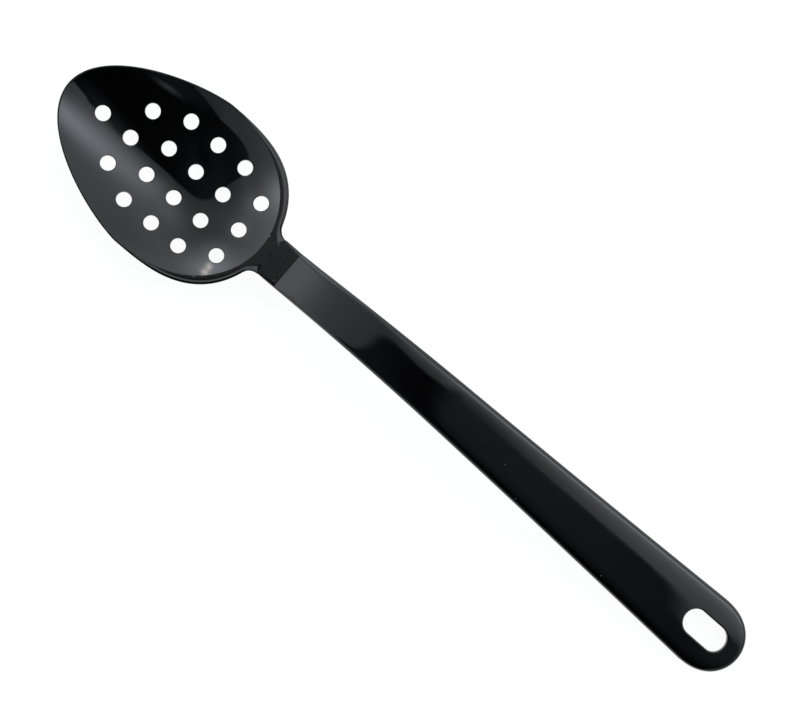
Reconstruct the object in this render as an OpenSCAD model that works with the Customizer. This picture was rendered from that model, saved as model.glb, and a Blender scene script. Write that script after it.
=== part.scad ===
// Serving spoon with a perforated bowl, moulded in one piece.
// X runs from the tip of the bowl to the end of the handle, Y runs across and Z is up.
// The origin is under the middle of the length, on the table that the spoon rests on:
// the bottom of the bowl and the end of the handle both touch z = 0.

/* [Overall] */
// Length of the spoon from the tip of the bowl to the end of the handle
spoon_l = 330; // [300:1:380]

/* [Bowl] */
// Width across the bowl at its widest
bowl_w = 66; // [56:0.1:76]
// Distance from the tip to the widest part of the bowl
nose_l = 50.5; // [44:0.1:60]
// Distance from the widest part to the back of the bowl
back_l = 44.1; // [36:0.1:52]
// Depth of the cavity at its deepest
cavity_depth = 13.2; // [8:0.1:18]
// Thickness of the floor at the deepest place
floor_t = 2.5; // [1.6:0.1:3.5]
// Width of the rim beside the cavity
rim_w = 0.8; // [0.6:0.1:3]
// Width of the rim at the tip
rim_tip_w = 0.8; // [0.6:0.1:3]
// Width of the flat land between the cavity and the back of the bowl
rim_back_w = 2.6; // [2:0.1:5]
// How far the rim overhangs the outer surface, which sets the height of its edge
rim_edge = 0.8; // [0.4:0.1:1.5]

/* [Drain holes] */
// Diameter of a drain hole
drain_d = 5.7; // [3:0.1:7]
// Distance between the rows of holes, along the bowl
drain_row_pitch = 13.1; // [9:0.1:13.5]
// Distance between neighbouring holes of one row, across the bowl
drain_pitch = 12.7; // [9:0.1:13.5]
// Distance from the tip to the first hole
drain_start = 15.9; // [13:0.1:18]

/* [Neck and handle] */
// Distance from the tip to the crease where the handle starts to rise
crease_x = 104.8; // [102:0.1:116]
// Width of the handle at the crease
neck_w = 16.2; // [12:0.1:20]
// Width of the handle where its end starts to round
end_w = 28.8; // [22:0.1:34]
// Length of the rounded end
end_round_l = 18.5; // [12:0.5:24]
// Radius of the fillets between the bowl and the neck, seen from above
neck_fillet_r = 4.8; // [3:0.1:5]
// Height of the edge of the handle
handle_h = 4.4; // [3.6:0.1:6]
// How much higher the middle of the handle is than its edges, at the end
crown_h = 1.3; // [0.4:0.1:2.5]
// Angle at which the handle leaves the crease
rise_angle = 30; // [15:0.5:34]
// Length over which the handle arches before it runs straight down to the table
arch_l = 79; // [60:1:110]
// Radius of the upper edges of the handle
edge_r = 1.6; // [0.8:0.1:1.8]
// Radius of the lower edges of the handle
lower_edge_r = 0.5; // [0.2:0.1:0.8]
// Radius of the edges of the flat neck
neck_edge_r = 0.6; // [0.3:0.1:1.2]
// Width of the sloped corners between the rim of the bowl and the neck
corner_w = 3; // [1:0.1:4]
// How far the sloped corners drop at their outer edge
corner_drop = 3.2; // [0.4:0.1:3.4]
// Distance over which the underside rounds the bend below the crease, to each side of it
heel_run = 3; // [1:0.5:5]

/* [Channel under the handle] */
// Thickness of the handle above the channel
web_t = 2.6; // [2:0.1:3.2]
// Width of the ribs on both sides of the channel
rib_w = 2.6; // [2:0.1:4]
// Distance from the crease to the start of the channel
channel_start = 6; // [4:0.5:20]
// Distance over which the channel reaches its full depth
channel_run = 12; // [6:0.5:24]

/* [Hang slot] */
// Width of the slot
slot_w = 10.2; // [6:0.1:14]
// Length of the slot along the handle
slot_l = 20.2; // [14.5:0.1:24]
// Distance from the middle of the slot to the end of the handle
slot_end_gap = 17.5; // [16:0.1:24]

/* [Hidden] */

// How far a cut runs past the surface that it opens
overrun = 2;
// Length over which an edge changes its radius abruptly
crisp_l = 0.3;
// Length over which the edges of the handle grow past the crease
edge_run = 5;
// Last step of a rounded outline before it is closed off
close_angle = 5;
// Exponents of the bowl's outline in front of and behind its widest part: 2 would be an ellipse
nose_power = 1.41;
back_power = 3;
// The same exponent for the back of the cavity, which is rounder, so that the land is a crescent
cavity_back_power = 2.3;
// Exponent of the handle's taper and of its rounded end
taper_power = 1.37;
end_power = 2.44;
// Holes in each row across the bowl, from the tip
drain_rows = [1, 3, 4, 4, 4, 3];

// Height of the edge where the neck starts inside the back of the bowl, as a share of its full height
gusset_share = 0.45;
// Most that an edge's radius may take of the half-width of the narrow end
edge_share = 0.6;
// Wall of the channel, as shares of the channel's half-width and of its depth
channel_wall_shares = [[1, 0], [0.95, 0.75], [0.86, 1]];
// Points of the channel's vault, as shares of its half-width
vault_shares = [0.45, 0];

// Points in a quarter of the bowl's outline
bowl_steps = 14;
// Stations along each stretch of the neck and the handle
fillet_steps = 6;
neck_steps = 3;
arch_steps = 22;
fall_steps = 12;
end_steps = 10;
// Points across half of the handle's top and around one of its edges
top_steps = 4;
edge_steps = 4;

rim_z = cavity_depth + floor_t;
bowl_hw = bowl_w / 2;
bowl_l = nose_l + back_l;
tip_x = -spoon_l / 2;
end_x = spoon_l / 2;
round_x = spoon_l - end_round_l;
fall_x = crease_x + arch_l;

// Bowl. Distances along the spoon are measured from its tip.

// Half of an egg-shaped outline from its tip to its back, as [distance, half-width],
// inset from the bowl's own outline at the tip, the sides and the back
function egg_half(tip_in, side_in, back_in, power = back_power) = let (
    hw = bowl_hw - side_in,
    nose = nose_l - tip_in,
    back = back_l - back_in,
    step = 90 / bowl_steps
) concat(
    [for (i = [0 : bowl_steps]) let (a = i == 0 ? close_angle : i * step)
        [nose_l - nose * pow(cos(a), 2 / nose_power), hw * sin(a)]],
    [for (i = [bowl_steps - 1 : -1 : 0]) let (a = i == 0 ? close_angle : i * step)
        [nose_l + back * pow(cos(a), 2 / power), hw * sin(a)]]
);

// Height of the axis above the rim, about which a circle with this half-width sags by this depth
function axis_h(hw, depth) = (hw * hw - depth * depth) / (2 * depth);

// Body of revolution about a long axis above the bowl. Its cut at the rim is the egg-shaped
// outline, and every cross-section is an arc of a circle.
module dished_form(tip_in, side_in, back_in, depth, power = back_power) {
    half = egg_half(tip_in, side_in, back_in, power);
    h = axis_h(bowl_hw - side_in, depth);
    last = len(half) - 1;
    profile = concat(
        [[0, -half[0][0]]],
        [for (p = half) [norm([p[1], h]), -p[0]]],
        [[0, -half[last][0]]]
    );
    translate([tip_x, 0, rim_z + h])
        rotate([0, -90, 0])
            rotate_extrude($fn = 180)
                polygon(profile);
}

// Outline of the bowl's rim, cut down to the table
module rim_prism() {
    half = egg_half(0, 0, 0);
    other = [for (i = [len(half) - 1 : -1 : 0]) [half[i][0], -half[i][1]]];
    translate([tip_x, 0, -overrun])
        linear_extrude(height = rim_z + overrun)
            polygon(concat([[0, 0]], half, [[bowl_l, 0]], other));
}

module bowl_blank() {
    intersection() {
        rim_prism();
        dished_form(-rim_edge, -rim_edge, -rim_edge, rim_z);
    }
}

module bowl_cavity() {
    dished_form(rim_tip_w, rim_w, rim_back_w, cavity_depth, cavity_back_power);
}

module drain_holes() {
    for (row = [0 : len(drain_rows) - 1])
        for (i = [0 : drain_rows[row] - 1])
            translate([
                tip_x + drain_start + row * drain_row_pitch,
                (i - (drain_rows[row] - 1) / 2) * drain_pitch,
                -overrun
            ])
                cylinder(h = rim_z + overrun, d = drain_d, $fn = 64);
}

// Neck and handle

// Slope at which the handle runs down to the table from the end of its arch
rise_slope = tan(rise_angle);
end_top_z = handle_h + crown_h;
fall_slope = (rim_z - end_top_z + rise_slope * arch_l / 2) / (arch_l / 2 + spoon_l - fall_x);

// Height of the handle's middle line at a distance from the tip
function top_z(x) = let (
    along = min(max(x - crease_x, 0), arch_l),
    after = max(x - fall_x, 0)
) rim_z + rise_slope * along - (rise_slope + fall_slope) * along * along / (2 * arch_l)
    - fall_slope * after;

// Half-width of the handle alone, inset by some width
function handle_hw(x, side_in, end_in) = let (
    part = min(max((x - crease_x) / (round_x - crease_x), 0), 1),
    taper = neck_w / 2 + (end_w - neck_w) / 2 * pow(part, taper_power),
    past = min(max((x - round_x) / (end_round_l - end_in), 0), 1)
) (taper - side_in) * sqrt(1 - pow(past, end_power));

// Where a fillet circle that touches the side of the handle also touches the bowl's outline
back_half = [for (p = egg_half(0, 0, 0)) if (p[0] > nose_l) p];
function fillet_gap(x) = min([for (i = [0 : len(back_half) - 2], f = [0, 0.25, 0.5, 0.75])
    norm(back_half[i] * (1 - f) + back_half[i + 1] * f - [x, neck_w / 2 + neck_fillet_r])]) - neck_fillet_r;
function fillet_x(low, high, tries) = let (mid = (low + high) / 2)
    tries == 0 ? mid : fillet_gap(mid) > 0 ? fillet_x(low, mid, tries - 1) : fillet_x(mid, high, tries - 1);
neck_x = fillet_x(bowl_l - neck_fillet_r, bowl_l + 2 * neck_fillet_r, 20);
// The fillet is followed to this angle, where it has met the bowl
fillet_angle = 64;
start_x = neck_x - neck_fillet_r * sin(fillet_angle);

function half_width(x) = x >= neck_x ? handle_hw(x, 0, 0)
    : neck_w / 2 + neck_fillet_r - sqrt(pow(neck_fillet_r, 2) - pow(neck_x - x, 2));

// Share of the way from one distance to another, held at 0 before and at 1 after
function part_way(x, from, to) = min(max((x - from) / (to - from), 0), 1);

// How much the underside is rounded off below the crease
function heel(x) = let (past = x - crease_x) abs(past) >= heel_run ? 0
    : rise_slope * (pow(past + heel_run, 2) / (4 * heel_run) - max(past, 0));

// Height of the edge: full on the handle, and thinned inside the back of the bowl
function edge_h(x) = handle_h * (gusset_share + (1 - gusset_share) * part_way(x, start_x, neck_x)) - heel(x);

// Width and drop of the rounding of the upper edge: it widens to a sloped corner beside the neck,
// is small on the flat neck and full on the handle
function edge_size(x) = x < neck_x
    ? let (part = part_way(x, start_x, neck_x - crisp_l))
        [neck_edge_r, neck_edge_r] * (1 - part) + [corner_w, corner_drop] * part
    : let (r = neck_edge_r + (edge_r - neck_edge_r) * part_way(x, crease_x, crease_x + edge_run)) [r, r];

function crown(x) = crown_h * part_way(x, crease_x, round_x)
    * pow(half_width(x) / handle_hw(min(x, round_x), 0, 0), 2);

// Channel: half-width and depth below the handle. It closes where its rounded end gets narrow.
function channel_hw(x) = x > round_x ? handle_hw(x, rib_w, rib_w) : half_width(x) - rib_w;
function channel_depth(x) = let (run = part_way(x, crease_x + channel_start, crease_x + channel_start + channel_run))
    channel_hw(x) < rib_w ? 0 : (handle_h - web_t) * (3 - 2 * run) * run * run;

// Half of a cross-section from the middle of the top to the middle of the underside, as [y, z]
function half_section(x) = let (
    hw = half_width(x),
    h = edge_h(x),
    edge = edge_size(x),
    r = min(edge[0], hw * edge_share),
    drop = min(edge[1], h - 2 * lower_edge_r),
    low_r = min(lower_edge_r, hw * edge_share / 2),
    flat = hw - r,
    rise = crown(x),
    z = top_z(x) - rise,
    low = z - h,
    deep = channel_depth(x),
    vault = rise * deep / (handle_h - web_t),
    inner = max(channel_hw(x), low_r)
) concat(
    [for (i = [0 : top_steps]) let (f = i / top_steps) [flat * f, z + rise * (1 - f * f)]],
    [for (i = [1 : edge_steps]) let (a = 90 * (1 - i / edge_steps)) [flat + r * cos(a), z - drop * (1 - sin(a))]],
    [for (a = [0, 45, 90]) [hw - low_r * (1 - cos(a)), low + low_r * (1 - sin(a))]],
    [for (share = channel_wall_shares) [inner * share[0], low + deep * share[1]]],
    [for (share = vault_shares) [inner * share, low + deep + vault * (1 - share * share)]]
);

function whole_section(x) = let (
    half = half_section(x),
    n = len(half)
) concat(
    [for (p = half) [x + tip_x, p[0], p[1]]],
    [for (i = [n - 2 : -1 : 1]) [x + tip_x, -half[i][0], half[i][1]]]
);

// Stations along the neck and the handle, measured from the tip
stations = concat(
    [for (i = [0 : fillet_steps - 1]) neck_x - neck_fillet_r * sin(fillet_angle * (1 - i / fillet_steps))],
    [neck_x - crisp_l, neck_x],
    [for (i = [0 : neck_steps]) crease_x - heel_run * (1 - i / neck_steps)],
    [for (i = [1 : arch_steps - 1]) crease_x + arch_l * i / arch_steps],
    [for (i = [0 : fall_steps - 1]) fall_x + (round_x - fall_x) * i / fall_steps],
    [for (i = [0 : end_steps]) round_x + end_round_l * sin((90 - close_angle) * i / end_steps)]
);

// Middle of a cross-section
function middle(section) = (section[0] + section[floor(len(section) / 2)]) / 2;

// Skin through cross-sections that all have the same number of points, closed at both ends by a fan
module skin(sections) {
    n = len(sections[0]);
    last = len(sections) - 1;
    rim = len(sections) * n;
    sides = [for (s = [0 : last - 1], i = [0 : n - 1]) let (
        a = s * n + i,
        b = s * n + (i + 1) % n
    ) each [[a, b, b + n], [a, b + n, a + n]]];
    caps = [for (i = [0 : n - 1]) let (next = (i + 1) % n)
        each [[rim, next, i], [rim + 1, last * n + i, last * n + next]]];
    points = concat([for (s = sections) each s], [middle(sections[0]), middle(sections[last])]);
    polyhedron(points = points, faces = concat(sides, caps), convexity = 6);
}

module neck_and_handle() {
    skin([for (x = stations) whole_section(x)]);
}

module hang_slot() {
    straight = slot_l - slot_w;
    deep = end_top_z + fall_slope * (slot_end_gap + slot_l) + 2 * overrun;
    translate([end_x - slot_end_gap, 0, -overrun]) {
        for (side = [-1, 1])
            translate([side * straight / 2, 0, 0])
                cylinder(h = deep, d = slot_w, $fn = 64);
        translate([-straight / 2, -slot_w / 2, 0])
            cube([straight, slot_w, deep]);
    }
}

module serving_spoon() {
    color("#1d1e21")
        difference() {
            union() {
                bowl_blank();
                neck_and_handle();
            }
            bowl_cavity();
            drain_holes();
            hang_slot();
        }
}

serving_spoon();
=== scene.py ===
from math import cos, hypot, pi, radians, sin, sqrt, tan

import bmesh
import bpy
from mathutils import Matrix, Vector


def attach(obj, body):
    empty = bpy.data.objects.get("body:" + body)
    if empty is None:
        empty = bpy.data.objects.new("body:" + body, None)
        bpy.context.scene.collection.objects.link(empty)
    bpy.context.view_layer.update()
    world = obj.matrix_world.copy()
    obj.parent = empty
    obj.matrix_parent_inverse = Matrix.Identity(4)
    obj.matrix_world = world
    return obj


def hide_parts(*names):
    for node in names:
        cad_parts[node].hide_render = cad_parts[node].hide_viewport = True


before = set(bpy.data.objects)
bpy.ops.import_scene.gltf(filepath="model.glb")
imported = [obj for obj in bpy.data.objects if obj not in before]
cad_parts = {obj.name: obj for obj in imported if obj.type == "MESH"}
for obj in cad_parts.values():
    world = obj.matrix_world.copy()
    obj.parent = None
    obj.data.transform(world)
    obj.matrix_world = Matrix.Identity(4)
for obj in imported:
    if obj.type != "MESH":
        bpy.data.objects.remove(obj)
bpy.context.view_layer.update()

# The spoon is modelled in millimetres from the tip of its bowl, with the sizes of the CAD
# model, and is brought to metres in the shared frame at the end.
MM = 0.001

# Bowl
SPOON_L = 330
BOWL_HW = 33
NOSE_L, BACK_L = 50.5, 44.1
BOWL_END = NOSE_L + BACK_L
NOSE_POWER = 1.41
CAVITY_DEPTH, FLOOR_T = 13.2, 2.5
RIM_Z = CAVITY_DEPTH + FLOOR_T

# Egg-shaped outlines: inset at the tip, the sides and the back, and the exponent of the back
OUTLINE = (0, 0, 0, 3)
CAVITY = (0.65, 0.65, 2.6, 2.3)
SHELL = (-0.8, -0.8, -0.8, 3)
BRINK_R = 0.04

# The rim is stepped: a narrow ledge runs round it, with a bevel above it at the back. Towards
# the tip the bevel fades out. Below it the wall is thicker.
LEDGE, BEVEL, BEVEL_DROP = 0.66, 0.85, 1.12
TIP_LEDGE, TIP_BEVEL = 0.4, 0.08
BEVEL_START, BEVEL_FULL = 56, 68
LIP_START, LIP_T, LIP_LEVEL = 50, 0.9, 0.72
LOW_RIM_R = 0.2

# Drain holes
DRAIN_R = 2.85
DRAIN_ROWS = (1, 3, 4, 4, 4, 3)
DRAIN_START, ROW_PITCH, DRAIN_PITCH = 15.9, 13.1, 12.7
DRAIN_EDGE = 0.18

# Neck, with fillets and sloped facets that lead into it
CREASE_X = 104.8
NECK_HW = 8.1
FILLET_R, FILLET_TURN = 4.8, radians(71.52)
NECK_X = 97.331
FILLET_START = NECK_X - FILLET_R * sin(FILLET_TURN)
FACET_END = NECK_X - 0.05
FACET_W, FACET_DROP, FACET_POWER = 3.35, 3.95, 1.6
FACET_SKEW = 0.2
GUSSET_SHARE = 0.45
# Under the bowl the neck falls away towards the tip and beyond its sides, and blends in
NECK_FALL, SIDE_FALL, SIDE_START, BLEND = 1.2, 2.5, 9.5, 0.15

# Handle
END_HW = 14.4
END_ROUND_L = 18.5
ROUND_X = SPOON_L - END_ROUND_L
TAPER_POWER, END_POWER = 1.37, 2.44
HANDLE_H, EDGE_DROP = 4.4, 1.3
CROWN_H, CROWN_GROWTH, CROWN_POWER = 0.45, 1.42, 3.8
SWELL_H, SWELL_RISE, SWELL_FALL = 0.12, (138, 158), (163, 192)
NECK_EDGE_R, BEND_EDGE_R, EDGE_R = 0.6, 2.3, 1.9
BEND_X, EDGE_X = CREASE_X + 9, (CREASE_X + 15, CREASE_X + 30)
LOW_EDGE_R = 0.5
RISE = tan(radians(30))
ARCH_L = 79
FALL_X = CREASE_X + ARCH_L
FALL = (RIM_Z - HANDLE_H - EDGE_DROP + RISE * ARCH_L / 2) / (ARCH_L / 2 + SPOON_L - FALL_X)
CREASE_SOFTNESS = 0.02
HEEL_RUN = 3
WEB_T, RIB_W = 2.6, 2.6
CHANNEL_START, CHANNEL_RUN = 6, 12
# Shares of the channel's half-width that are its vault, and that its steep wall starts at
VAULT_PART, WALL_PART = 0.86, 0.95

# Hang slot
SLOT_X, SLOT_R, SLOT_HALF = SPOON_L - 17.5, 5.1, 5
SLOT_EDGE = 0.3

# Spacing of the points of the mesh
CELL = 0.6
GRID = (160, 112)
GRID_MIDDLE = NOSE_L - 2.05
EDGE_STEPS = 9
OPENING_STEPS = 3
FACET_ROWS, NECK_ROWS, HANDLE_ROWS, END_ROWS = 8, 6, 230, 28
EVEN_LINES, VAULT_LINES, WALL_LINES = 0.5, 0.66, 0.8
SHARP = radians(42)

# Camera. The spoon lies across the picture: these are the picture's right and down.
TURN = radians(40.531)
SHEET_RIGHT = Vector((cos(TURN), sin(TURN), 0))
SHEET_DOWN = Vector((sin(TURN), -cos(TURN), 0))
TILT = (-0.242, -5.086)
EYE = Vector((-0.058194, -0.044527, 0.789905))
PICTURE_W, FOCAL = 800, 2106
SENSOR_W = 36

# Floor
FLOOR_SIZE = 30
PAPER_LIFT = 0.94

# Lamps, folds and gleams of the studio's tent: where each is, across and along, how far it
# reaches both ways, and its strength
LAMPS = (
    (-0.92, -0.05, 0.276, 0.162, 2.6),
    (0.426, -0.025, 0.186, 0.127, 3.25),
    (0.19, -0.115, 0.137, 0.083, 0.8),
    (-0.136, -0.81, 0.242, 0.23, 2.75),
    (-0.372, -0.361, 0.09, 0.083, 0.9),
    (-0.175, -0.57, 0.102, 0.091, 0.87),
    (-0.458, 0.05, 0.083, 0.56, 0.23),
    (0.265, 0.012, 0.103, 0.443, 0.49),
    (0.115, -0.248, 0.087, 0.136, 0.86),
    (-0.53, -0.146, 0.103, 0.088, 0.69),
    (0.478, 0.006, 0.094, 0.077, 0.41),
)
FOLDS = (
    (0.178, 0.112, 0.059, 0.051, 1.19),
    (0.565, -0.638, 0.276, 0.298, 0.31),
)
GLEAMS = (
    (-0.195, 0.577, 0.029, 0.031, 0.6),
    (-0.09, 0.6, 0.018, 0.046, 0.06),
    (-0.193, -0.02, 0.171, 0.322, 0.113),
    (-0.27, 0.675, 0.106, 0.128, 0.105),
    (0.206, 0.073, 0.059, 0.163, 0.24),
    (0.243, 0.698, 0.097, 0.106, 0.114),
    (-0.87, 0.064, 0.343, 0.474, 0.4),
    (-0.202, 0.146, 0.041, 0.124, -0.07),
)
BARE_LAMP = (
    (-0.114, -0.785, 0.03, 0.06, 5.7),
    (-0.074, -0.88, 0.034, 0.06, 6),
)
# The cloth: how bright it is overhead and how much more at the sides, and where it gets dimmer
# along and across, and by how much
OVERHEAD = (-0.115, 0.02, 0.437, 3.2, 1)
CLOTH_TOP, CLOTH_SIDES = 0.68, 1.25
DIM_ALONG, DIM_ALONG_BY = (-0.295, 0.04), 0.7
DIM_ACROSS, DIM_ACROSS_BY = (0.124, 0.747), 0.275
# The dark opening: three ellipses that blend into one, and how soft its edge is
OPENING_ABOVE = (-0.112, 0.531, 0.254, 0.667)
OPENING_SIDE = (-0.137, 0.266, 0.406, 0.273)
OPENING_END = (0.142, 0.166, 0.111, 0.033)
SIDE_BLEND, END_BLEND = 0.17, 0.055
OPENING_EDGE = (-0.006, 0.005)
DAYLIGHT, WARM_LIGHT = (0.88, 0.94, 1.01, 1), (1, 0.9, 0.82, 1)


def share(x, start, end):
    """How far x has come from start to end, held at 0 and 1."""
    return min(max((x - start) / (end - start), 0), 1)


def ease(t):
    """A share that starts and ends gently."""
    return t * t * (3 - 2 * t)


def mix(a, b, t):
    """The value a share t of the way from a to b."""
    return a + (b - a) * t


def smaller(egg, step):
    """An egg-shaped outline brought in all round."""
    return tuple(inset + step for inset in egg[:3]) + egg[3:]


def egg_level(x, y, egg):
    """1 on an egg-shaped outline, less inside it."""
    tip, side, back, power = egg
    if x < NOSE_L:
        along = ((NOSE_L - x) / (NOSE_L - tip)) ** NOSE_POWER
    else:
        along = ((x - NOSE_L) / (BACK_L - back)) ** power
    return along + (y / (BOWL_HW - side)) ** 2


def on_egg(x, y, egg):
    """Where the ray from the middle of the bowl through x, y meets an outline."""
    low, high = 0, 2 * NOSE_L / max(hypot(x - NOSE_L, y), 1e-9)
    for _ in range(46):
        t = (low + high) / 2
        if egg_level(NOSE_L + (x - NOSE_L) * t, y * t, egg) < 1:
            low = t
        else:
            high = t
    return Vector((NOSE_L + (x - NOSE_L) * low, y * low))


def egg_normal(p):
    """Outward direction of the bowl's outline at one of its points."""
    e = 0.01
    return Vector((
        egg_level(p.x + e, p.y, OUTLINE) - egg_level(p.x - e, p.y, OUTLINE),
        egg_level(p.x, p.y + e, OUTLINE) - egg_level(p.x, p.y - e, OUTLINE),
    )).normalized()


def dish_z(x, y, egg, depth):
    """Height of a dished surface that every cross-section cuts in an arc of a circle."""
    hw = BOWL_HW - egg[1]
    axis = (hw * hw - depth * depth) / (2 * depth)
    spare = hw * hw * (1 - egg_level(x, 0, egg))
    return RIM_Z + axis - sqrt(max(spare + axis * axis - y * y, 1))


def handle_hw(x):
    """Half-width of the handle, which widens towards its rounded end."""
    taper = NECK_HW + (END_HW - NECK_HW) * share(x, CREASE_X, ROUND_X) ** TAPER_POWER
    return taper * sqrt(1 - share(x, ROUND_X, SPOON_L) ** END_POWER)


def half_width(x):
    """Half-width of the neck and the handle, with the fillets that lead into the bowl."""
    if x >= NECK_X:
        return handle_hw(x)
    return NECK_HW + FILLET_R - sqrt(max(FILLET_R ** 2 - (NECK_X - x) ** 2, 0))


def side_point(x):
    """A point on the +Y side of the neck or the handle, and the outward direction there."""
    e = 0.005
    slope = (half_width(x + e) - half_width(x - e)) / (2 * e) if x < SPOON_L - 2 * e else -40
    return Vector((x, half_width(x))), Vector((-slope, 1)).normalized()


def spine_z(x):
    """Height of the arch of the handle, with a small radius in the crease."""
    past = x - CREASE_X
    along = min((past + sqrt(past * past + CREASE_SOFTNESS)) / 2, ARCH_L)
    after = max(x - FALL_X, 0)
    return RIM_Z + RISE * along - (RISE + FALL) * along * along / (2 * ARCH_L) - FALL * after


def rounded(width, drop, steps=EDGE_STEPS):
    """A rounded edge, as points: how far in from the outline, and how far down."""
    turns = [pi / 2 * k / steps for k in range(1, steps + 1)]
    return [(width * (1 - sin(a)), drop * (1 - cos(a))) for a in turns]


def stepped(ledge, bevel, drop):
    """An edge with a bevel that ends on a narrow ledge."""
    slope = ((0.06, 0.02), (0.16, 0.13), (0.5, 0.5), (0.84, 0.87), (0.94, 0.98))
    path = [(ledge + bevel * (1 - along), drop * down) for along, down in slope]
    return path + [
        (ledge * 0.94, drop + 0.002), (ledge * 0.2, drop + 0.01), (ledge * 0.06, drop + 0.03),
        (0, drop + 0.12)]


def edge_of_rim(x):
    """Width and shape of the edge of the rim. The bevel starts past the widest part of the bowl."""
    t = share(x, BEVEL_START, BEVEL_FULL)
    ledge, bevel = mix(TIP_LEDGE, LEDGE, t), mix(TIP_BEVEL, BEVEL, t)
    return ledge + bevel, stepped(ledge, bevel, BEVEL_DROP * t)


def edge_of_handle(x):
    """Width and shape of the upper edge. The bevel of the rim widens to a facet beside the neck."""
    if x < FACET_END:
        t = share(x, FILLET_START, FACET_END)
        wider = t ** FACET_POWER
        ledge, bevel = mix(LEDGE, TIP_BEVEL, t), mix(BEVEL, FACET_W, wider)
        return ledge + bevel, stepped(ledge, bevel, mix(BEVEL_DROP, FACET_DROP, wider))
    r = mix(NECK_EDGE_R, BEND_EDGE_R, share(x, NECK_X, BEND_X))
    r -= (BEND_EDGE_R - EDGE_R) * share(x, *EDGE_X)
    return r, rounded(r, r)


def width_share(x):
    """Square of the width at the rounded end as a share of the full width there."""
    return (half_width(x) / handle_hw(min(x, ROUND_X))) ** 2


def crown(x):
    """How much the middle of the top is above its sides. The top is nearly flat in the middle."""
    swell = SWELL_H * ease(share(x, *SWELL_RISE)) * (1 - ease(share(x, *SWELL_FALL)))
    grown = CROWN_H * share(x, CREASE_X, ROUND_X) ** CROWN_GROWTH
    return (grown + swell) * width_share(x)


def edge_z(x):
    """Height of the sides of the top."""
    return spine_z(x) - EDGE_DROP * share(x, CREASE_X, ROUND_X) * width_share(x)


def flat_hw(x):
    """Half-width of the top inside its rounded or sloped edges."""
    return max(half_width(x) - edge_of_handle(x)[0], 0.1)


def heel(x):
    """How much the underside is rounded off below the crease."""
    past = x - CREASE_X
    if abs(past) >= HEEL_RUN:
        return 0
    return RISE * ((past + HEEL_RUN) ** 2 / (4 * HEEL_RUN) - max(past, 0))


def edge_height(x):
    """Height of the sides. They are thinned inside the back of the bowl."""
    return HANDLE_H * mix(GUSSET_SHARE, 1, share(x, FILLET_START, NECK_X)) - heel(x)


def top_z(x, y):
    """Height of the upper surface."""
    if x > BOWL_END - 0.5:
        return edge_z(x) + crown(x) * (1 - min((abs(y) / flat_hw(x)) ** CROWN_POWER, 1.1))
    sunk = RIM_Z - dish_z(x, y, CAVITY, CAVITY_DEPTH)
    return RIM_Z - (sunk + sqrt(sunk * sunk + BRINK_R * BRINK_R)) / 2


def channel_hw(x):
    """Half-width of the channel under the handle, between its ribs."""
    if x > ROUND_X:
        end = ROUND_X + END_ROUND_L - RIB_W
        return (END_HW - RIB_W) * sqrt(max(1 - share(x, ROUND_X, end) ** END_POWER, 0))
    return half_width(x) - RIB_W


def channel_z(x, y):
    """How far the channel under the handle is sunk into it."""
    inner = channel_hw(x)
    start = CREASE_X + CHANNEL_START
    grown = ease(share(x, start, start + CHANNEL_RUN)) * share(inner, RIB_W, RIB_W + 2)
    deep = (HANDLE_H - WEB_T) * grown
    if deep == 0 or abs(y) >= inner:
        return 0
    part = abs(y) / inner
    wall = 0.75 * share(part, 1, WALL_PART) + 0.25 * share(part, WALL_PART, VAULT_PART)
    vault = crown(x) * grown * (1 - share(part, 0, VAULT_PART) ** 2)
    return deep * wall + vault


def bottom_z(x, y):
    """Height of the underside: the shell of the bowl, the neck below it and the handle."""
    neck = edge_z(x) - edge_height(x) + channel_z(x, y)
    if x > BOWL_END:
        return neck
    level = egg_level(x, y, OUTLINE)
    lip = LIP_T * ease(share(x, LIP_START, BEVEL_FULL)) * ease(share(level, LIP_LEVEL, 1))
    shell = dish_z(x, y, SHELL, RIM_Z) - lip
    neck += NECK_FALL * max(FILLET_START - x, 0) + SIDE_FALL * max(abs(y) - SIDE_START, 0)
    gap = neck - shell
    return shell + (gap - sqrt(gap * gap + BLEND)) / 2 if gap < 4 else shell


def loops_of(bm):
    """The open edges of a mesh as closed loops of vertices in order."""
    ahead = {}
    for e in bm.edges:
        if e.is_boundary:
            for v in e.verts:
                ahead.setdefault(v, []).append(e.other_vert(v))
    loops, seen = [], set()
    for first in ahead:
        if first in seen:
            continue
        loop, v = [], first
        while v is not None:
            loop.append(v)
            seen.add(v)
            v = next((n for n in ahead[v] if n not in seen), None)
        loops.append(loop)
    return loops


def grow(bm, line, place, closed=True):
    """Extrude a line of vertices once and put each new vertex where place says."""
    pairs = list(zip(line, line[1:] + line[:1] if closed else line[1:]))
    edges = [next(e for e in a.link_edges if e.other_vert(a) is b) for a, b in pairs]
    made = bmesh.ops.extrude_edge_only(bm, edges=edges)["geom"]
    new = {v for v in made if isinstance(v, bmesh.types.BMVert)}
    out = [next(e.other_vert(v) for e in v.link_edges if e.other_vert(v) in new) for v in line]
    for i, v in enumerate(out):
        v.co = place(i)
    return out


def flat(p, z=0):
    return Vector((p[0], p[1], z))


def cut_back(bm, near):
    """Take out the faces round an opening."""
    lost = [f for f in bm.faces if any(near(v.co.x, v.co.y) for v in f.verts)]
    bmesh.ops.delete(bm, geom=lost, context="FACES")


drains = [
    (DRAIN_START + row * ROW_PITCH, (i - (count - 1) / 2) * DRAIN_PITCH)
    for row, count in enumerate(DRAIN_ROWS) for i in range(count)
]


def beside(centre, p, r):
    """The point at distance r from centre, on the side of p."""
    out = Vector((p[0] - centre[0], p[1] - centre[1])).normalized()
    return Vector((centre[0] + out.x * r, centre[1] + out.y * r))


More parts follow.
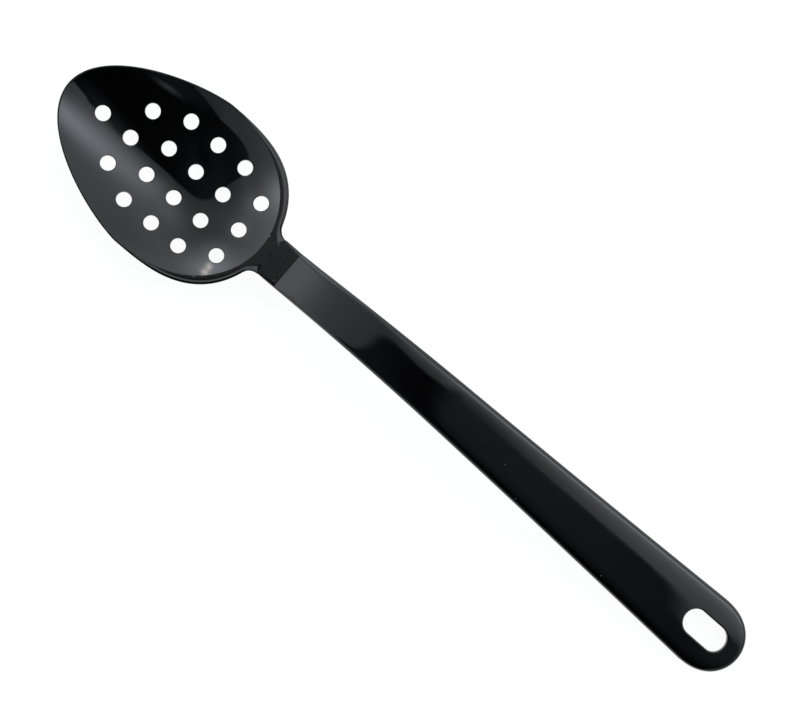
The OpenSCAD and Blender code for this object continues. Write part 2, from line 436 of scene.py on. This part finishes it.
def slot_axis(x):
    """The place on the middle line of the slot that is nearest."""
    return min(max(x, SLOT_X - SLOT_HALF), SLOT_X + SLOT_HALF)


def round_slot(p, r):
    """Where the ray from the middle of the slot through p is at distance r from the slot's axis."""
    ray = Vector((p.x - SLOT_X, p.y)).normalized()
    reach = r / max(abs(ray.y), 1e-9)
    if abs(ray.x) * reach > SLOT_HALF:
        past = SLOT_HALF * abs(ray.x)
        reach = past + sqrt(past * past - SLOT_HALF ** 2 + r * r)
    return Vector((SLOT_X + ray.x * reach, ray.y * reach))


def plan_of_bowl(bm):
    """The bowl seen from above: an even grid with its holes, and rings out to the rim."""
    bmesh.ops.create_grid(bm, x_segments=GRID[0], y_segments=GRID[1], size=0.5)
    bmesh.ops.scale(bm, vec=(GRID[0] * CELL, GRID[1] * CELL, 1), verts=bm.verts)
    bmesh.ops.translate(bm, vec=(GRID_MIDDLE, 0, 0), verts=bm.verts)
    inside = smaller(CAVITY, 1.1)
    cut_back(bm, lambda x, y: egg_level(x, y, inside) > 1)
    for c in drains:
        cut_back(bm, lambda x, y: hypot(x - c[0], y - c[1]) < DRAIN_R + 0.75)

    loops = sorted(loops_of(bm), key=len)
    rim = loops.pop()
    for ring in loops:
        c = min(drains, key=lambda d: hypot(ring[0].co.x - d[0], ring[0].co.y - d[1]))
        for r in (DRAIN_R + 0.45, DRAIN_R + DRAIN_EDGE):
            spots = [beside(c, v.co, r) for v in ring]
            ring = grow(bm, ring, lambda i: flat(spots[i]))

    # The points where the fillets of the neck touch the bowl get a vertex of their own
    middle = Vector((NOSE_L, 0))
    rays = [Vector((v.co.x, v.co.y)) for v in rim]
    for side in (1, -1):
        spot = Vector((FILLET_START, side * half_width(FILLET_START)))
        aim = (spot - middle).normalized()
        i = min(range(len(rays)), key=lambda k: ((rays[k] - middle).normalized() - aim).length)
        rays[i] = spot
    for step in (0.7, 0.36, 0.16, 0.05, 0):
        rim = grow(bm, rim, lambda i: flat(on_egg(*rays[i], smaller(CAVITY, step))))
    brink = [v.co.copy() for v in rim]
    points = [on_egg(*ray, OUTLINE) for ray in rays]
    edges = [Edge(p, egg_normal(p), *edge_of_rim(p.x), LOW_RIM_R) for p in points]
    for part in (0.06, 0.25, 0.6, 1):
        rim = grow(bm, rim, lambda i: brink[i].lerp(flat(edges[i].inner()), part))
    return rim, dict(zip(rim, edges))


class Edge:
    """Where the outline passes a vertex, which way is out, and how the edges are shaped there."""

    def __init__(self, point, out, width, path, low):
        self.point, self.out = point, out
        self.width, self.path, self.low = width, path, low

    def inner(self):
        return self.point - self.out * self.width

    def under(self):
        return self.point - self.out * self.low


def edge_of_side(x, side):
    """The edge at one place along the neck or the handle. The side is 1 at +Y and -1 at -Y."""
    p, n = side_point(x)
    low = LOW_EDGE_R
    if x < FACET_END:
        # The end of the facet is cut a little askew
        low = LOW_RIM_R
        n = Vector((n.x + FACET_SKEW * share(x, FILLET_START, FACET_END), n.y)).normalized()
    return Edge(Vector((p.x, side * p.y)), Vector((n.x, side * n.y)), *edge_of_handle(x), low)


def plan_of_handle(bm, rim, outline):
    """The neck and the handle grow out of the back of the rim, one row at a time."""
    reach = half_width(FILLET_START) + 1e-4
    row = [v for v in rim if outline[v].point.x > NOSE_L and abs(outline[v].point.y) <= reach]
    row.sort(key=lambda v: -v.co.y)
    first = [(v.co.x - row[0].co.x, v.co.y / row[0].co.y) for v in row]
    last = FACET_END - 0.15
    stations = [mix(FILLET_START, last, i / FACET_ROWS) for i in range(1, FACET_ROWS + 1)]
    stations += [NECK_X, NECK_X + 0.4]
    stations += [mix(NECK_X + 1, CREASE_X - 0.6, i / NECK_ROWS) for i in range(NECK_ROWS + 1)]
    stations += [CREASE_X + d for d in (-0.3, -0.12, 0, 0.12, 0.3, 0.6)]
    stations += [mix(CREASE_X + 1, ROUND_X, i / HANDLE_ROWS) for i in range(HANDLE_ROWS + 1)]
    turns = [radians(84 * i / END_ROWS) for i in range(1, END_ROWS + 1)]
    stations += [ROUND_X + END_ROUND_L * sin(turn) for turn in turns]
    rows = [(FILLET_START, row)]
    for x in stations:
        left, right = edge_of_side(x, 1), edge_of_side(x, -1)
        inner, t = left.inner(), share(x, FILLET_START, last)
        row = grow(bm, row, lambda i: Vector(
            (inner.x + first[i][0] * (1 - t), inner.y * first[i][1], 0)), closed=False)
        outline[row[0]], outline[row[-1]] = left, right
        rows.append((x, row))
    # The last row lies along the rounded end
    left = outline[row[0]]
    for v, (_, f) in zip(row[1:-1], first[1:-1]):
        y = f * left.point.y
        x = ROUND_X + END_ROUND_L * (1 - (y / END_HW) ** 2) ** (1 / END_POWER)
        tilt = left.out.y * f
        out = Vector((sqrt(1 - tilt * tilt), tilt))
        outline[v] = Edge(Vector((x, y)), out, left.width, left.path, left.low)
        v.co = flat(outline[v].inner())

    cut_back(bm, lambda x, y: x > CREASE_X and hypot(x - slot_axis(x), y) < SLOT_R + 0.9)
    ring = next(l for l in loops_of(bm) if abs(l[0].co.x - SLOT_X) < 12 and abs(l[0].co.y) < 8)
    for off in (0.55, SLOT_EDGE):
        spots = [round_slot(v.co, SLOT_R + off) for v in ring]
        ring = grow(bm, ring, lambda i: flat(spots[i]))
    return [(x, f, v) for x, row in rows for v, (_, f) in zip(row, first) if v.is_valid]


def underside_y(x, f, top_y):
    """Where a lengthwise line of the handle's mesh runs underneath: some follow the ribs."""
    inner, whole = channel_hw(x), half_width(x) - LOW_EDGE_R
    part = abs(f)
    if part < VAULT_LINES:
        stretch = ease(share(part, EVEN_LINES, VAULT_LINES))
        y = mix(abs(top_y), VAULT_PART * inner * part / VAULT_LINES, stretch)
    elif part < WALL_LINES:
        y = mix(VAULT_PART, 1, share(part, VAULT_LINES, WALL_LINES)) * inner
    else:
        y = mix(inner, whole, share(part, WALL_LINES, 1))
    weight = share(x, FILLET_START, CREASE_X + 3) * share(inner, RIB_W, RIB_W + 2)
    y = mix(part * whole, y, weight)
    return y if f > 0 else -y


def round_over(bm, ring, edges, zs, dull):
    """Carry a loop of the upper skin round its edge, out to the wall.

    The ledge and the upper edges of the neck are noted as dull.
    """
    for k in range(len(edges[0].path)):
        spots = []
        for e, z in zip(edges, zs):
            (inward, down), drop = e.path[k], e.path[-1][1]
            lean = 0
            if e.point.x > CREASE_X:
                # Past the crease the edge starts at the slope of the crowned top
                lean = CROWN_POWER * crown(e.point.x) / flat_hw(e.point.x) * e.out.y ** 2
            fall = lean * (e.width - inward) + down * (1 - lean * e.width / drop)
            spots.append(flat(e.point - e.out * inward, z - fall))
        ring = grow(bm, ring, lambda i: spots[i])
        for v, e in zip(ring, edges):
            on_ledge, on_neck_edge = 5 <= k < 8, k < 5 and e.point.x > FACET_END
            if e.point.x < CREASE_X and (on_ledge or on_neck_edge):
                dull.add(v)
    return ring


def round_under(bm, ring, edges, zs, steps):
    """Carry a loop of the lower skin round its smaller edge."""
    for k in range(1, steps + 1):
        a = pi / 2 * k / steps
        spots = [flat(e.point - e.out * e.low * (1 - sin(a)), z + e.low * (1 - cos(a)))
                 for e, z in zip(edges, zs)]
        ring = grow(bm, ring, lambda i: spots[i])
    return ring


def join(bm, upper, lower):
    """Drop a wall from the upper skin's loop onto the lower skin's."""
    foot = grow(bm, upper, lambda i: lower[i].co.copy())
    bmesh.ops.weld_verts(bm, targetmap=dict(zip(foot, lower)))


def opening_edge(v, r):
    """The same roundings at a drain hole or at the slot, where the wall is inside the ring."""
    if v.co.x < CREASE_X:
        c, wall = min(drains, key=lambda d: hypot(v.co.x - d[0], v.co.y - d[1])), DRAIN_R
    else:
        c, wall = (slot_axis(v.co.x), 0), SLOT_R
    spot = beside(c, v.co, wall)
    out = Vector((c[0] - spot.x, c[1] - spot.y)).normalized()
    return Edge(spot, out, r, rounded(r, r, OPENING_STEPS), r)


def make_spoon():
    """An upper and a lower skin, joined by a wall at the outline and at each opening."""
    bm = bmesh.new()
    rim, outline = plan_of_bowl(bm)
    lines = plan_of_handle(bm, rim, outline)
    plan = loops_of(bm)
    outer = max(plan, key=len)

    # The underside starts as a second skin that has the same vertices in plan
    top_verts = bm.verts[:]
    copy = bmesh.ops.duplicate(bm, geom=bm.verts[:] + bm.edges[:] + bm.faces[:])
    twin = copy["vert_map"]
    under_faces = [f for f in copy["geom"] if isinstance(f, bmesh.types.BMFace)]
    bmesh.ops.reverse_faces(bm, faces=under_faces)
    for x, f, v in lines:
        edge = edge_of_side(x, 1)
        shift = (edge.width - edge.low) * edge.out.x * f * f
        if v not in outline:
            twin[v].co = (v.co.x + shift, underside_y(x, f, v.co.y), 0)
    for v, edge in outline.items():
        twin[v].co = flat(edge.under())
    for v in top_verts:
        v.co.z = top_z(v.co.x, v.co.y)
        u = twin[v]
        u.co.z = bottom_z(u.co.x, u.co.y)

    dull = set()
    for loop in plan:
        if loop is outer:
            edges = [outline[v] for v in loop]
        else:
            r = DRAIN_EDGE if loop[0].co.x < CREASE_X else SLOT_EDGE
            edges = [opening_edge(v, r) for v in loop]
        under = [twin[v] for v in loop]
        lower = round_under(bm, under, edges, [v.co.z for v in under], OPENING_STEPS)
        upper = round_over(bm, loop, edges, [v.co.z for v in loop], dull)
        join(bm, upper, lower)

    # The flat land of the rim and the neck is marked, with the dull edges: it has less gloss
    land = bm.verts.layers.float.new("land")
    for v in bm.verts:
        v[land] = float(v in dull or abs(v.co.z - RIM_Z) < 0.03 and v.co.x < CREASE_X + 0.05)

    bmesh.ops.translate(bm, vec=(-SPOON_L / 2, 0, 0), verts=bm.verts)
    bmesh.ops.scale(bm, vec=(MM, MM, MM), verts=bm.verts)
    bmesh.ops.recalc_face_normals(bm, faces=bm.faces)
    for f in bm.faces:
        f.smooth = True
    for e in bm.edges:
        e.smooth = e.calc_face_angle(0) < SHARP
    mesh = bpy.data.meshes.new("serving_spoon_body")
    bm.to_mesh(mesh)
    bm.free()
    return bpy.data.objects.new("serving_spoon_body", mesh)


def node(tree, kind, inputs=None, **settings):
    """Add a node, set its properties, and link or set its inputs."""
    n = tree.nodes.new(kind)
    for key, value in settings.items():
        setattr(n, key, value)
    for key, value in (inputs or {}).items():
        if isinstance(value, bpy.types.NodeSocket):
            tree.links.new(value, n.inputs[key])
        else:
            n.inputs[key].default_value = value
    return n


def sums(tree):
    """Short calls for the arithmetic of one node tree."""
    def calc(operation, *values, clamp=False):
        inputs = dict(enumerate(values))
        return node(tree, "ShaderNodeMath", inputs, operation=operation, use_clamp=clamp).outputs[0]
    return calc


def noise(tree, place, scale, detail):
    """A noise in grey."""
    settings = {"Vector": place, "Scale": scale, "Detail": detail}
    return node(tree, "ShaderNodeTexNoise", settings).outputs["Fac"]


def black_plastic():
    """Gloss black nylon: polished, with dull land, dust, rub marks and the waves of a moulding."""
    mat = bpy.data.materials.new("gloss_black_plastic")
    mat.use_nodes = True
    tree = mat.node_tree
    tree.nodes.clear()
    calc = sums(tree)
    place = node(tree, "ShaderNodeTexCoord").outputs["Object"]
    land = node(tree, "ShaderNodeAttribute", attribute_name="land").outputs["Fac"]

    def stretched(scale, turn=0):
        inputs = {"Vector": place, "Rotation": (0, 0, turn), "Scale": scale}
        return node(tree, "ShaderNodeMapping", inputs).outputs[0]

    # Specks of dust, more of them on the dull land
    dust = node(tree, "ShaderNodeTexVoronoi", {"Vector": place, "Scale": 520}).outputs
    chance = node(tree, "ShaderNodeSeparateColor", {"Color": dust["Color"]}).outputs["Red"]
    few = calc("GREATER_THAN", chance, calc("SUBTRACT", 0.988, calc("MULTIPLY", land, 0.1)))
    size = calc("MULTIPLY", chance, calc("ADD", calc("MULTIPLY", land, 0.07), 0.11))
    speck = calc("MULTIPLY", few, calc("LESS_THAN", dust["Distance"], size))

    # Colour: carbon black with a faint cloudiness from the flow of the melt
    black = node(tree, "ShaderNodeValToRGB", {"Fac": noise(tree, place, 60, 3)})
    black.color_ramp.elements[0].color = (0.0007, 0.0007, 0.0009, 1)
    black.color_ramp.elements[1].color = (0.0017, 0.0016, 0.0019, 1)
    colour = node(tree, "ShaderNodeMix", {
        "Factor": speck, "A": black.outputs[0], "B": (0.14, 0.14, 0.15, 1)}, data_type="RGBA")

    # Gloss: polished, with hazier patches and fine rub marks along the spoon
    haze = noise(tree, place, 35, 4)
    rubs = noise(tree, stretched((30, 700, 700)), 1, 2)
    rub = calc("MULTIPLY", calc("SUBTRACT", rubs, 0.62, clamp=True), 0.35)
    polish = calc("ADD", calc("ADD", calc("MULTIPLY", haze, 0.05), 0.025), rub)

    # The land is duller, with short strokes of gloss in it
    strokes = calc("GREATER_THAN", noise(tree, stretched((260, 1500, 200), 0.5), 1, 1), 0.68)
    scores = calc("MULTIPLY", strokes, calc("GREATER_THAN", land, 0.97))
    dull = calc("ADD", calc("MULTIPLY", haze, 0.14), 0.22)
    dull = calc("SUBTRACT", dull, calc("MULTIPLY", scores, 0.14))
    rough = node(tree, "ShaderNodeMix", {"Factor": land, "A": polish, "B": dull}).outputs["Result"]

    # Surface: the slow waves of a moulding, and a trace of fine grain
    slow = node(tree, "ShaderNodeBump", {
        "Height": noise(tree, place, 45, 1), "Strength": 0.25, "Distance": 0.0001}).outputs[0]
    fine = node(tree, "ShaderNodeBump", {
        "Height": noise(tree, place, 2200, 2), "Strength": 0.12, "Distance": 0.00001,
        "Normal": slow}).outputs[0]

    shader = node(tree, "ShaderNodeBsdfPrincipled", {
        "Base Color": colour.outputs["Result"], "Roughness": rough, "Normal": fine, "IOR": 1.5})
    out = node(tree, "ShaderNodeOutputMaterial", {"Surface": shader.outputs[0]})
    out.is_active_output = True
    return mat


def pale_floor():
    """White paper. It is seen and mirrored lifted to white, and the spoon's shadow stays on it."""
    mat = bpy.data.materials.new("white_paper")
    mat.use_nodes = True
    tree = mat.node_tree
    tree.nodes.clear()
    calc = sums(tree)
    light = node(tree, "ShaderNodeLightPath").outputs
    seen = calc("MAXIMUM", calc("MAXIMUM", light["Is Camera Ray"], light["Is Glossy Ray"]),
                light["Is Transmission Ray"])
    paper = node(tree, "ShaderNodeBsdfDiffuse", {"Color": (0.12, 0.12, 0.12, 1)})
    lift = node(tree, "ShaderNodeEmission", {"Strength": calc("MULTIPLY", seen, PAPER_LIFT)})
    both = node(tree, "ShaderNodeAddShader", {0: paper.outputs[0], 1: lift.outputs[0]})
    node(tree, "ShaderNodeOutputMaterial", {"Surface": both.outputs[0]})
    bm = bmesh.new()
    bmesh.ops.create_grid(bm, x_segments=1, y_segments=1, size=FLOOR_SIZE / 2)
    mesh = bpy.data.meshes.new("floor")
    bm.to_mesh(mesh)
    bm.free()
    floor = bpy.data.objects.new("floor", mesh)
    floor.data.materials.append(mat)
    bpy.context.collection.objects.link(floor)


def studio_light():
    """A white tent all round, with its dark opening above and towards the end of the handle."""
    world = bpy.data.worlds.new("studio")
    bpy.context.scene.world = world
    world.use_nodes = True
    tree = world.node_tree
    tree.nodes.clear()
    calc = sums(tree)
    look = node(tree, "ShaderNodeTexCoord").outputs["Generated"]

    def toward(direction):
        inputs = {0: look, 1: direction}
        return node(tree, "ShaderNodeVectorMath", inputs, operation="DOT_PRODUCT").outputs["Value"]

    # The sky is laid out flat round the zenith: across and along, 1 at the horizon
    high = toward((0, 0, 1))
    depth = calc("ADD", calc("MAXIMUM", high, 0), 1)
    across = calc("DIVIDE", toward(tuple(SHEET_RIGHT)), depth)
    along = calc("DIVIDE", toward(tuple(SHEET_DOWN)), depth)

    def far(x, y, rx, ry):
        """Distance from a spot, 1 on an ellipse round it."""
        a = calc("DIVIDE", calc("SUBTRACT", across, x), rx)
        b = calc("DIVIDE", calc("SUBTRACT", along, y), ry)
        return calc("SQRT", calc("ADD", calc("MULTIPLY", a, a), calc("MULTIPLY", b, b)))

    def glow(x, y, rx, ry, power):
        """A soft spot that fades out with the distance."""
        d = far(x, y, rx, ry)
        fade = calc("EXPONENT", calc("MULTIPLY", calc("MULTIPLY", d, d), -1))
        return calc("MULTIPLY", fade, power)

    def step(value, start, end):
        n = node(tree, "ShaderNodeMapRange", {
            "Value": value, "From Min": start, "From Max": end}, interpolation_type="SMOOTHSTEP")
        return n.outputs["Result"]

    def less(value, part):
        """A value taken down by a part of itself."""
        return calc("MULTIPLY", value, calc("SUBTRACT", 1, part))

    # The cloth of the tent is dimmer overhead and low down, and the lamps and folds are before it
    middle = calc("SUBTRACT", 1, glow(*OVERHEAD))
    cloth = calc("ADD", calc("MULTIPLY", middle, CLOTH_SIDES), CLOTH_TOP)
    cloth = less(cloth, calc("MULTIPLY", step(along, *DIM_ALONG), DIM_ALONG_BY))
    cloth = less(cloth, calc("MULTIPLY", step(across, *DIM_ACROSS), DIM_ACROSS_BY))
    for lamp in LAMPS:
        cloth = calc("ADD", cloth, glow(*lamp))
    for fold in FOLDS:
        cloth = calc("MAXIMUM", less(cloth, glow(*fold)), 0)

    # Its dark opening, and the little light that comes out of it
    def hole(x, y, rx, ry):
        return calc("MULTIPLY", calc("SUBTRACT", far(x, y, rx, ry), 1), rx)

    opening = calc("SMOOTH_MIN", hole(*OPENING_ABOVE), hole(*OPENING_SIDE), SIDE_BLEND)
    opening = calc("SMOOTH_MIN", opening, hole(*OPENING_END), END_BLEND)
    level = calc("MULTIPLY", cloth, step(opening, *OPENING_EDGE))
    for gleam in GLEAMS:
        level = calc("MAXIMUM", calc("ADD", level, glow(*gleam)), 0.001)

    # Cool daylight, and one bare lamp that is warmer
    cool = node(tree, "ShaderNodeBackground", {"Color": DAYLIGHT, "Strength": level})
    bare = calc("ADD", *[glow(*part) for part in BARE_LAMP])
    warm = node(tree, "ShaderNodeBackground", {"Color": WARM_LIGHT, "Strength": bare})
    both = node(tree, "ShaderNodeAddShader", {0: cool.outputs[0], 1: warm.outputs[0]})
    plain = node(tree, "ShaderNodeBackground", {"Color": (1, 1, 1, 1), "Strength": 1})
    eye = node(tree, "ShaderNodeLightPath").outputs["Is Camera Ray"]
    sky = node(tree, "ShaderNodeMixShader", {0: eye, 1: both.outputs[0], 2: plain.outputs[0]})
    node(tree, "ShaderNodeOutputWorld", {"Surface": sky.outputs[0]})


def make_camera():
    """Looks straight down, turned so that the spoon runs from the upper left to the lower right."""
    data = bpy.data.cameras.new("camera")
    data.sensor_width = SENSOR_W
    data.lens = FOCAL / PICTURE_W * SENSOR_W
    data.clip_start, data.clip_end = 0.01, 50
    camera = bpy.data.objects.new("camera", data)
    bpy.context.collection.objects.link(camera)
    turn = Matrix((SHEET_RIGHT, SHEET_DOWN, Vector((0, 0, -1))))
    for angle, axis in zip(reversed(TILT), "YX"):
        turn = Matrix.Rotation(radians(angle), 3, axis) @ turn
    axes = Matrix((turn[0], -turn[1], -turn[2])).transposed()
    camera.matrix_world = Matrix.Translation(EYE) @ axes.to_4x4()
    bpy.context.scene.camera = camera


spoon = make_spoon()
spoon.data.materials.append(black_plastic())
bpy.context.collection.objects.link(spoon)
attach(spoon, "root")
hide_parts("serving_spoon")

pale_floor()
studio_light()
make_camera()
bpy.context.scene.view_settings.view_transform = "Standard"
